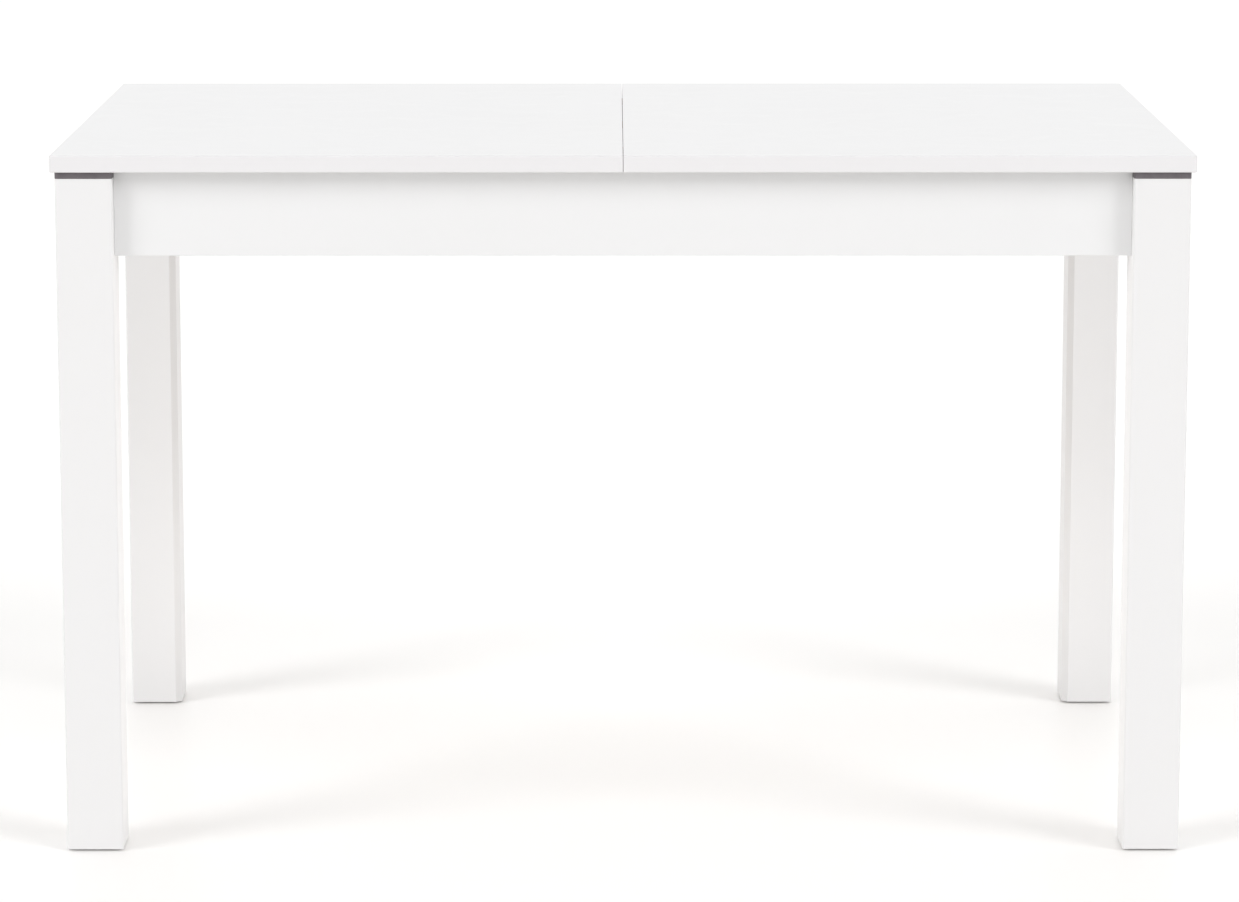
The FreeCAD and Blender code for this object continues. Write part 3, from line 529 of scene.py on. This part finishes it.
def hexagon_nut(at, way, radius, bore, height):
    """A hexagon nut whose corners are turned off at both faces."""
    shape = bmesh.new()
    bmesh.ops.create_circle(shape, segments=6, radius=radius)
    bmesh.ops.subdivide_edges(shape, edges=shape.edges[:], cuts=5)
    low_rim = shape.edges[:]
    high_rim = ring_above(shape, low_rim, height)
    face_radius = radius * 0.83
    for vert in shape.verts:
        turned_off = (vert.co.to_2d().length - face_radius) * math.tan(math.radians(30))
        vert.co.z += turned_off if vert.co.z < height / 2 else -turned_off
    for rim, level in ((low_rim, 0), (high_rim, height)):
        inner = ring_above(shape, rim, 0)
        for vert in {vert for edge in inner for vert in edge.verts}:
            vert.co = (*(vert.co.to_2d().normalized() * face_radius), level)
        before = set(shape.edges)
        bmesh.ops.create_circle(shape, segments=36, radius=bore * 1.1,
                                matrix=Matrix.Translation((0, 0, level)))
        mouth = [edge for edge in shape.edges if edge not in before]
        bmesh.ops.triangle_fill(shape, use_beauty=True, edges=inner + mouth)
        ring_above(shape, mouth, 0.4 * MM if level == 0 else -0.4 * MM, 1 / 1.1)
    throat = [edge for edge in shape.edges if edge.is_boundary]
    bmesh.ops.bridge_loops(shape, edges=throat)
    return aimed(shape, at, way)


bolts, washers, nuts = [], [], []
for height in (apron_middle - BOLT_SPREAD, apron_middle + BOLT_SPREAD):
    seat = Vector((bevel_middle.x, bevel_middle.y, height))
    bolts.append(threaded_rod(seat - TO_MIDDLE * BOLT_BURIED, TO_MIDDLE, BOLT_LENGTH))
    seat += TO_MIDDLE * (BOLT_STANDOFF + PLATE_THICK)
    washers.append(washer(seat, TO_MIDDLE, radius=9 * MM, bore=4.2 * MM, height=WASHER_THICK))
    nuts.append(hexagon_nut(seat + TO_MIDDLE * WASHER_THICK, TO_MIDDLE, radius=7.5 * MM, bore=3.95 * MM,
                            height=6.5 * MM))
piece("hanger_bolts", four_of(together(*bolts)), "frame", fastener_zinc)
piece("hanger_bolt_washers", four_of(together(*washers)), "frame", fastener_zinc)
piece("hanger_bolt_nuts", four_of(together(*nuts)), "frame", fastener_zinc)

# Leaf rails: two planed beech rails dowelled between the long aprons. The stored leaf lies on
# felt pads glued on them, and beech blocks keep it from sliding to the front or the rear.

for side in ("left", "right"):
    rail = square_block(*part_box(f"leaf_rail_{side}"), "Y")
    piece(f"leaf_rail_{side}", eased(rail, 1.2 * MM, 3), "frame", beech_along_y)
rail_low, rail_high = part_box("leaf_rail_right")
IN_APRON = 12 * MM
IN_RAIL = 24 * MM
RAIL_PIN_INSET = 10 * MM
rail_middle = rail_high.z / 2 + rail_low.z / 2
pins = [dowel((across, rail_low.y - IN_APRON, rail_middle), (across, rail_low.y + IN_RAIL, rail_middle))
        for across in (rail_low.x + RAIL_PIN_INSET, rail_high.x - RAIL_PIN_INSET)]
piece("rail_dowels", four_of(together(*pins)), "frame", beech_along_y)

felt = Finish("needle_felt", Roughness=0.95, Sheen_Weight=0.35, Sheen_Roughness=0.6)
fibres = (felt.noise(0.0007, 4.0, (3, 1, 1), distortion=2.2) * 0.5
          + felt.noise(0.0007, 4.0, (1, 3, 1), distortion=2.2) * 0.5)
lint = felt.noise(0.004, 2.0)
felt_tone = felt.blend(fibres, (0.11, 0.11, 0.118, 1.0), (0.36, 0.36, 0.37, 1.0))
needle_felt = felt.made(felt_tone, 0.88 + 0.1 * lint, fibres + 0.5 * lint, 0.0006)
PAD_SIDE = 36 * MM
PAD_THICK = 2 * MM
pad_x, pad_y = rail_low.x / 2 + rail_high.x / 2, -160 * MM
reach = PAD_SIDE / 2
pad = block([(pad_x - reach, pad_y - reach), (pad_x + reach, pad_y - reach), (pad_x + reach, pad_y + reach),
             (pad_x - reach, pad_y + reach)], rail_high.z, rail_high.z + PAD_THICK,
            rounds=[(3 * MM, (0, 1, 2, 3))])
piece("leaf_pads", four_of(eased(pad, 0.6 * MM, 3)), "frame", needle_felt)
STOP_OUTER_Y = -226 * MM
STOP_INNER_Y = -214 * MM
STOP_RISE = 15 * MM
stop = square_block(Vector((rail_low.x, STOP_OUTER_Y, rail_high.z)),
                    Vector((rail_high.x, STOP_INNER_Y, rail_high.z + STOP_RISE)))
piece("leaf_stop_blocks", four_of(eased(stop, 1.0 * MM, 3)), "frame", beech_along_x)

# Slide channels: zinc-plated strip steel, rolled to a lipped channel and screwed along the inner
# face of each long apron. A tab bent up at each end stops the runners.

rolled_zinc = plated("rolled_zinc", (0.67, 0.68, 0.69), 0.26, lines=(40, 1, 1))
channel_low, channel_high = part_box("slide_channel_front")
SHEET = 1.2 * MM
slide_middle = channel_low.z / 2 + channel_high.z / 2
CHANNEL_DEPTH = 10.5 * MM
LIP_DROP = 3.1 * MM
channel_mouth = inner_y + CHANNEL_DEPTH
lip = channel_high.z - SHEET - LIP_DROP
channel_path = [(channel_mouth, lip), (channel_mouth, channel_high.z), (inner_y, channel_high.z),
                (inner_y, channel_low.z), (channel_mouth, channel_low.z),
                (channel_mouth, 2 * slide_middle - lip)]
channel = bent_sheet(channel_path, channel_low.x, channel_high.x, SHEET, 1.1 * MM, "X")
TAB_HALF = 9 * MM
tab = square_block(Vector((channel_high.x - SHEET, inner_y, slide_middle - TAB_HALF)),
                   Vector((channel_high.x, channel_high.y, slide_middle + TAB_HALF)), "X")
tab = eased(tab, 0.3 * MM)
channel = together(channel, tab, mirrored(tab, left=True))
piece("slide_channel_front", channel, "frame", rolled_zinc)
piece("slide_channel_rear", mirrored(channel, rear=True), "frame", rolled_zinc)
screws = [wood_screw((along, inner_y + SHEET, slide_middle), (0, -1, 0)) for along in (60 * MM, 420 * MM)]
piece("slide_channel_screws", four_of(together(*screws)), "frame", fastener_zinc)

# Slide runners: the moving channel of each slide, rolled from the same strip, open towards the
# apron and screwed on its batten.

runner_low, runner_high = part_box("slide_runner_front_right")
runner_lip = SHEET + 0.6 * MM
runner_path = [(runner_low.y, runner_low.z + runner_lip), (runner_low.y, runner_low.z),
               (runner_high.y, runner_low.z), (runner_high.y, runner_high.z),
               (runner_low.y, runner_high.z), (runner_low.y, runner_high.z - runner_lip)]
runner = bent_sheet(runner_path, runner_low.x, runner_high.x, SHEET, 0.8 * MM, "X")
corner_pieces("slide_runner", runner, "{side}_top", rolled_zinc)
at_runner = [(share, runner_high.y - SHEET, slide_middle) for share in
             (runner_low.x + (runner_high.x - runner_low.x) * part for part in (0.25, 0.75))]
screws = together(*[wood_screw(at, (0, 1, 0)) for at in at_runner])
screws = together(screws, mirrored(screws, rear=True))

# Ball cages: thin steel strips folded to a channel and punched with a pocket for each ball, which
# spaces the polished balls that roll above and below each runner. They are lightly greased.

cage_steel = plated("cage_steel", (0.56, 0.56, 0.555), 0.34, lines=(20, 1, 1), grease=0.14)
for side in ("left", "right"):
    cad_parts[f"ball_cages_{side}"].data.materials.clear()
    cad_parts[f"ball_cages_{side}"].data.materials.append(cage_steel)
polish = Finish("ball_polish", Metallic=1.0)
film = polish.noise(0.0012, 3.0)
ball_tone = polish.blend(film, (0.72, 0.72, 0.73, 1.0), (0.80, 0.80, 0.81, 1.0))
ball_polish = polish.made(ball_tone, 0.06 + 0.10 * film, film, 0.000001)
ball_low, ball_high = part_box("slide_balls_right")
BALL_RADIUS = 1.95 * MM
BALL_PITCH = 20 * MM
balls = bmesh.new()
for step in range(7):
    for height in (ball_low.z + BALL_RADIUS, ball_high.z - BALL_RADIUS):
        centre = Vector((ball_low.x + BALL_RADIUS + step * BALL_PITCH, ball_low.y + BALL_RADIUS, height))
        bmesh.ops.create_icosphere(balls, subdivisions=3, radius=BALL_RADIUS,
                                   matrix=Matrix.Translation(centre))
balls = together(balls, mirrored(balls, rear=True))

# Half tops: chipboard faced on both sides with satin white melamine. A plastic band is glued round
# each half: its outer arrises are scraped round, and it stays square where the two halves meet.

band_plastic = satin_white("band_plastic", (0.765, 0.754, 0.76), 0.30, 0.0024, 0.000012)
PIN_SPACING = 250 * MM
PIN_BURIED = 25 * MM
PIN_OUT = 10 * MM
ROOT = 4.05 * MM
ROOT_DEPTH = 23 * MM
SOCKET = 4.3 * MM
SOCKET_DEPTH = 10 * MM
BAND_ROUND = 1.4 * MM


def drilled(low, high, along, radius, depth_low=0.0, depth_high=0.0):
    """A board with three holes in its low or high end, at half thickness, or right through it."""
    across = (low.y, high.y) if along == "X" else (low.x, high.x)
    start, end = (low.x, high.x) if along == "X" else (low.y, high.y)
    levels = [start, end]
    if depth_low:
        levels = [start, start + depth_low]
    elif depth_high:
        levels = [end - depth_high, end]
    bores = [((step * PIN_SPACING, low.z / 2 + high.z / 2), [(radius, level) for level in levels])
             for step in (-1, 0, 1)]
    outline = [(across[0], low.z), (across[1], low.z), (across[1], high.z), (across[0], high.z)]
    return block(outline, start, end, along, bores=bores)


def band_arris(shape, reach_x, reach_y, width):
    """Round the level edges of a band that lie within a width of its outer sides."""
    levels = (min(vert.co.z for vert in shape.verts), max(vert.co.z for vert in shape.verts))
    outer = [edge for edge in shape.edges
             if all(abs(vert.co.x) > reach_x - width or abs(vert.co.y) > reach_y - width
                    for vert in edge.verts)
             and edge.verts[0].co.z == edge.verts[1].co.z and edge.verts[0].co.z in levels
             and edge.calc_face_angle(0) > math.radians(60)]
    bmesh.ops.bevel(shape, geom=outer, offset=BAND_ROUND, segments=5, profile=0.5, affect="EDGES",
                    clamp_overlap=True, material=-1)
    return shape


top_low, top_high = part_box("edge_bands_right")
panel_low, panel_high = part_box("top_panel_right")
BAND = top_high.x - panel_high.x
outline = [(top_low.x, top_low.y), (top_high.x, top_low.y), (top_high.x, top_high.y),
           (top_low.x, top_high.y), (top_low.x, panel_high.y), (panel_high.x, panel_high.y),
           (panel_high.x, panel_low.y), (top_low.x, panel_low.y)]
outer_band = band_arris(block(outline, top_low.z, top_high.z, rounds=[(1.9 * MM, (1, 2))]),
                        top_high.x, top_high.y, BAND * 0.97)
seam_low = Vector((top_low.x, panel_low.y, top_low.z))
seam_high = Vector((panel_low.x, panel_high.y, top_high.z))
for side, hole, depth in (("right", ROOT, ROOT_DEPTH), ("left", SOCKET, SOCKET_DEPTH)):
    band = together(outer_band, drilled(seam_low, seam_high, "X", hole))
    panel = drilled(panel_low, panel_high, "X", hole, depth_low=depth)
    is_left = side == "left"
    piece(f"edge_bands_{side}", mirrored(band, left=is_left), f"{side}_top", band_plastic)
    piece(f"top_panel_{side}", mirrored(panel, left=is_left), f"{side}_top", board_coat)
    piece(f"runner_screws_{side}", mirrored(screws, left=is_left), f"{side}_top", fastener_zinc)
    piece(f"slide_balls_{side}", mirrored(balls, left=is_left), f"{side}_cages", ball_polish)

# Seam dowels: three beech pins glued in the right half's edge. They enter the left half's sockets
# when the top closes, so that the two halves line up.

board_middle = top_low.z / 2 + top_high.z / 2
pins = [dowel((PIN_BURIED, step * PIN_SPACING, board_middle), (-PIN_OUT, step * PIN_SPACING, board_middle))
        for step in (-1, 0, 1)]
piece("seam_dowels", together(*pins), "right_top", beech_along_x)

# Battens: planed beech strips screwed up under each half top through deep counterbores, so that
# each half hangs on its two slide runners.

batten_low, batten_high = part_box("top_batten_front_right")
SINK = 22 * MM
sinks = [(batten_low.x + (batten_high.x - batten_low.x) * share, batten_low.y / 2 + batten_high.y / 2)
         for share in (0.125, 0.5, 0.875)]
outline = [(batten_low.x, batten_low.y), (batten_high.x, batten_low.y), (batten_high.x, batten_high.y),
           (batten_low.x, batten_high.y)]
batten = block(outline, batten_low.z, batten_high.z,
               bores=[(sink, [(5 * MM, batten_low.z), (5 * MM, batten_low.z + SINK)]) for sink in sinks])
corner_pieces("top_batten", eased(batten, 0.7 * MM), "{side}_top", beech_along_x)
screws = [wood_screw((*sink, batten_low.z + SINK), (0, 0, 1), length=40 * MM, radius=2.2 * MM,
                     head=4.4 * MM, rise=3 * MM) for sink in sinks]
screws = together(*screws)
screws = together(screws, mirrored(screws, rear=True))
for side in ("right", "left"):
    piece(f"batten_screws_{side}", mirrored(screws, left=side == "left"), f"{side}_top", fastener_zinc)

# Latches: a stamped steel hook turns on a shouldered pivot under the left half, and its slot grips
# the neck of a headed stud under the right half. Both stand on collars against the board.

stamped_zinc = plated("stamped_zinc", (0.68, 0.675, 0.655), 0.27, lines=(1, 8, 1))
hook_low, hook_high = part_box("latch_hook_front")
pivot = Vector((-28 * MM, -228 * MM))
hook_outline = [(-9, 9), (-9, -22), (-21, -22), (-21, -42), (-9, -42), (-9, -66), (9, -66), (9, -59.6),
                (-3.4, -59.6), (-3.4, -51.7), (9, -51.7), (9, 9)]
hook = block([(pivot.x + across * MM, pivot.y + along * MM) for across, along in hook_outline],
             hook_low.z, hook_high.z,
             rounds=[(8.9 * MM, (0, 11)), (3.5 * MM, (2, 3, 5)), (1.5 * MM, (6, 7, 10)), (3.2 * MM, (8, 9)),
                     (1.2 * MM, (1, 4))],
             bores=[(pivot, [(4.08 * MM, hook_low.z), (4.08 * MM, hook_high.z)])])
hook = eased(hook, 0.35 * MM)
piece("latch_hook_front", hook, "front_latch", stamped_zinc)
piece("latch_hook_rear", mirrored(hook, rear=True), "rear_latch", stamped_zinc)


COLLAR_THICK = 2 * MM
IN_BOARD = 11.9 * MM


def shouldered_stud(at, neck, head):
    """A headed steel neck that runs up into the board through a collar."""
    shape, rim = recessed_head(head, 3 * MM)
    rim = ring_above(shape, rim, 0, neck / head)
    bmesh.ops.edgeloop_fill(shape, edges=ring_above(shape, rim, top_low.z + IN_BOARD - at[2]))
    collar = washer((at[0], at[1], top_low.z - COLLAR_THICK), (0, 0, 1), radius=9 * MM, bore=neck,
                    height=COLLAR_THICK)
    return together(aimed(shape, at, (0, 0, 1)), collar)


for name, across, neck, head, body in (("latch_pivots", pivot.x, 4 * MM, 7 * MM, "left_top"),
                                       ("latch_studs", -pivot.x, 3 * MM, 6 * MM, "right_top")):
    stud = shouldered_stud((across, pivot.y, hook_low.z - 0.3 * MM), neck, head)
    piece(name, together(stud, mirrored(stud, rear=True)), body, fastener_zinc)

# Stored leaf: a third board of the same make, kept on the rails with its long side along the
# table. Three beech pins stand out of one long edge, and the other has three sockets.

leaf_low, leaf_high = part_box("leaf_edge_bands")
core_low, core_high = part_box("leaf_panel")
leaf_middle = leaf_low.z / 2 + leaf_high.z / 2
front_half = drilled(core_low, Vector((core_high.x, 0, core_high.z)), "Y", ROOT, depth_low=ROOT_DEPTH)
rear_half = drilled(Vector((core_low.x, 0, core_low.z)), core_high, "Y", SOCKET, depth_high=SOCKET_DEPTH)
core = together(front_half, rear_half)
bmesh.ops.remove_doubles(core, verts=core.verts[:], dist=0.00001)
doubled = [face for face in core.faces if all(abs(vert.co.y) < 1e-6 for vert in face.verts)]
bmesh.ops.delete(core, geom=doubled, context="FACES_ONLY")
piece("leaf_panel", core, "stored_leaf", board_coat)
pin_strip = drilled(leaf_low, Vector((leaf_high.x, core_low.y, leaf_high.z)), "Y", ROOT)
socket_strip = drilled(Vector((leaf_low.x, core_high.y, leaf_low.z)), leaf_high, "Y", SOCKET)
end_strip = square_block(Vector((core_high.x, core_low.y, leaf_low.z)),
                         Vector((leaf_high.x, core_high.y, leaf_high.z)))
end_strip = band_arris(end_strip, leaf_high.x, math.inf, 0.5 * BAND)
bands = together(pin_strip, socket_strip, end_strip, mirrored(end_strip, left=True))
piece("leaf_edge_bands", bands, "stored_leaf", band_plastic)
pins = [dowel((step * PIN_SPACING, leaf_low.y + PIN_BURIED, leaf_middle),
              (step * PIN_SPACING, leaf_low.y - PIN_OUT, leaf_middle)) for step in (-1, 0, 1)]
piece("leaf_dowels", together(*pins), "stored_leaf", beech_along_y)

# Studio: a seamless white floor under a white dome that is brightest behind the table, with a
# large soft box and a low fill in front at each side, one overhead, and a long lens above the top.

floor_finish = Finish("studio_floor", Emission_Color=(1.0, 1.0, 1.0, 1.0), Emission_Strength=0.035)
scuffs = floor_finish.noise(0.5, 3.0)
floor_tone = floor_finish.blend(scuffs, (0.93, 0.917, 0.90, 1.0), (0.94, 0.927, 0.91, 1.0))
floor_paint = floor_finish.made(floor_tone, 0.30 + 0.06 * scuffs, floor_finish.noise(0.01, 2.0), 0.00002)
facing = floor_finish.node("ShaderNodeNewGeometry", {}, {}).outputs["Backfacing"]
clear = floor_finish.node("ShaderNodeBsdfTransparent", {}, {}).outputs[0]
solid = floor_finish.shader.outputs[0]
one_sided = floor_finish.node("ShaderNodeMixShader", {}, {0: facing, 1: solid, 2: clear})
surface = floor_finish.tree.nodes["Material Output"].inputs["Surface"]
floor_finish.tree.links.new(one_sided.outputs[0], surface)
floor_shape = bmesh.new()
bmesh.ops.create_grid(floor_shape, x_segments=12, y_segments=12, size=30)
floor_mesh = bpy.data.meshes.new("studio_floor")
floor_shape.to_mesh(floor_mesh)
floor_mesh.materials.append(floor_paint)
floor = bpy.data.objects.new("studio_floor", floor_mesh)
bpy.context.scene.collection.objects.link(floor)

dome = bpy.data.worlds.new("studio_dome")
dome.use_nodes = True
bpy.context.scene.world = dome
sky, links = dome.node_tree.nodes, dome.node_tree.links
towards = sky.new("ShaderNodeSeparateXYZ")
links.new(sky.new("ShaderNodeTexCoord").outputs["Generated"], towards.inputs[0])
wall = sky.new("ShaderNodeMapRange")
for entry, value in {"From Min": -0.6, "From Max": 0.7, "To Min": 0.16, "To Max": 1.03}.items():
    wall.inputs[entry].default_value = value
links.new(towards.outputs["Y"], wall.inputs["Value"])
links.new(wall.outputs[0], sky["Background"].inputs["Strength"])
sky["Background"].inputs["Color"].default_value = (1.0, 1.0, 1.0, 1.0)


def soft_light(name, azimuth, elevation, spread, strength):
    """A large, distant soft box without glare; azimuth 0 is straight in front and 90 on the right."""
    lamp = bpy.data.lights.new(name, "SUN")
    lamp.angle = math.radians(spread)
    lamp.energy = strength
    lamp.color = (0.985, 0.99, 1.0)
    around, up = math.radians(azimuth), math.radians(elevation)
    place = Vector((math.sin(around) * math.cos(up), -math.cos(around) * math.cos(up), math.sin(up))) * 6
    box = bpy.data.objects.new(name, lamp)
    box.location = place
    box.rotation_euler = place.to_track_quat("Z", "Y").to_euler()
    box.visible_glossy = False
    bpy.context.scene.collection.objects.link(box)


for side in (-1, 1):
    soft_light("soft_box", 56 * side, 28, 28, 1.30)
    soft_light("low_fill", 36 * side, 8, 40, 0.46)
soft_light("overhead", 0, 78, 60, 0.36)

card = bpy.data.lights.new("bounce_card", "AREA")
card.shape = "RECTANGLE"
card.size = 0.9
card.size_y = 0.5
card.energy = 1.5
card.color = (1.0, 0.96, 0.93)
bounce_card = bpy.data.objects.new("bounce_card", card)
bounce_card.location = (0, 0, 0.01)
bounce_card.rotation_euler = Euler((math.pi, 0, 0))
bounce_card.visible_camera = False
bounce_card.visible_glossy = False
bpy.context.scene.collection.objects.link(bounce_card)

lens = bpy.data.cameras.new("camera")
lens.sensor_width = 36
lens.lens = 134.76
lens.shift_y = -0.06
camera = bpy.data.objects.new("camera", lens)
camera.location = (-0.0101, -5.1907, 1.3115)
camera.rotation_euler = Euler((math.radians(90 - 9.379), 0, math.radians(-0.075)))
bpy.context.scene.collection.objects.link(camera)
bpy.context.scene.camera = camera
bpy.context.scene.view_settings.view_transform = "Standard"
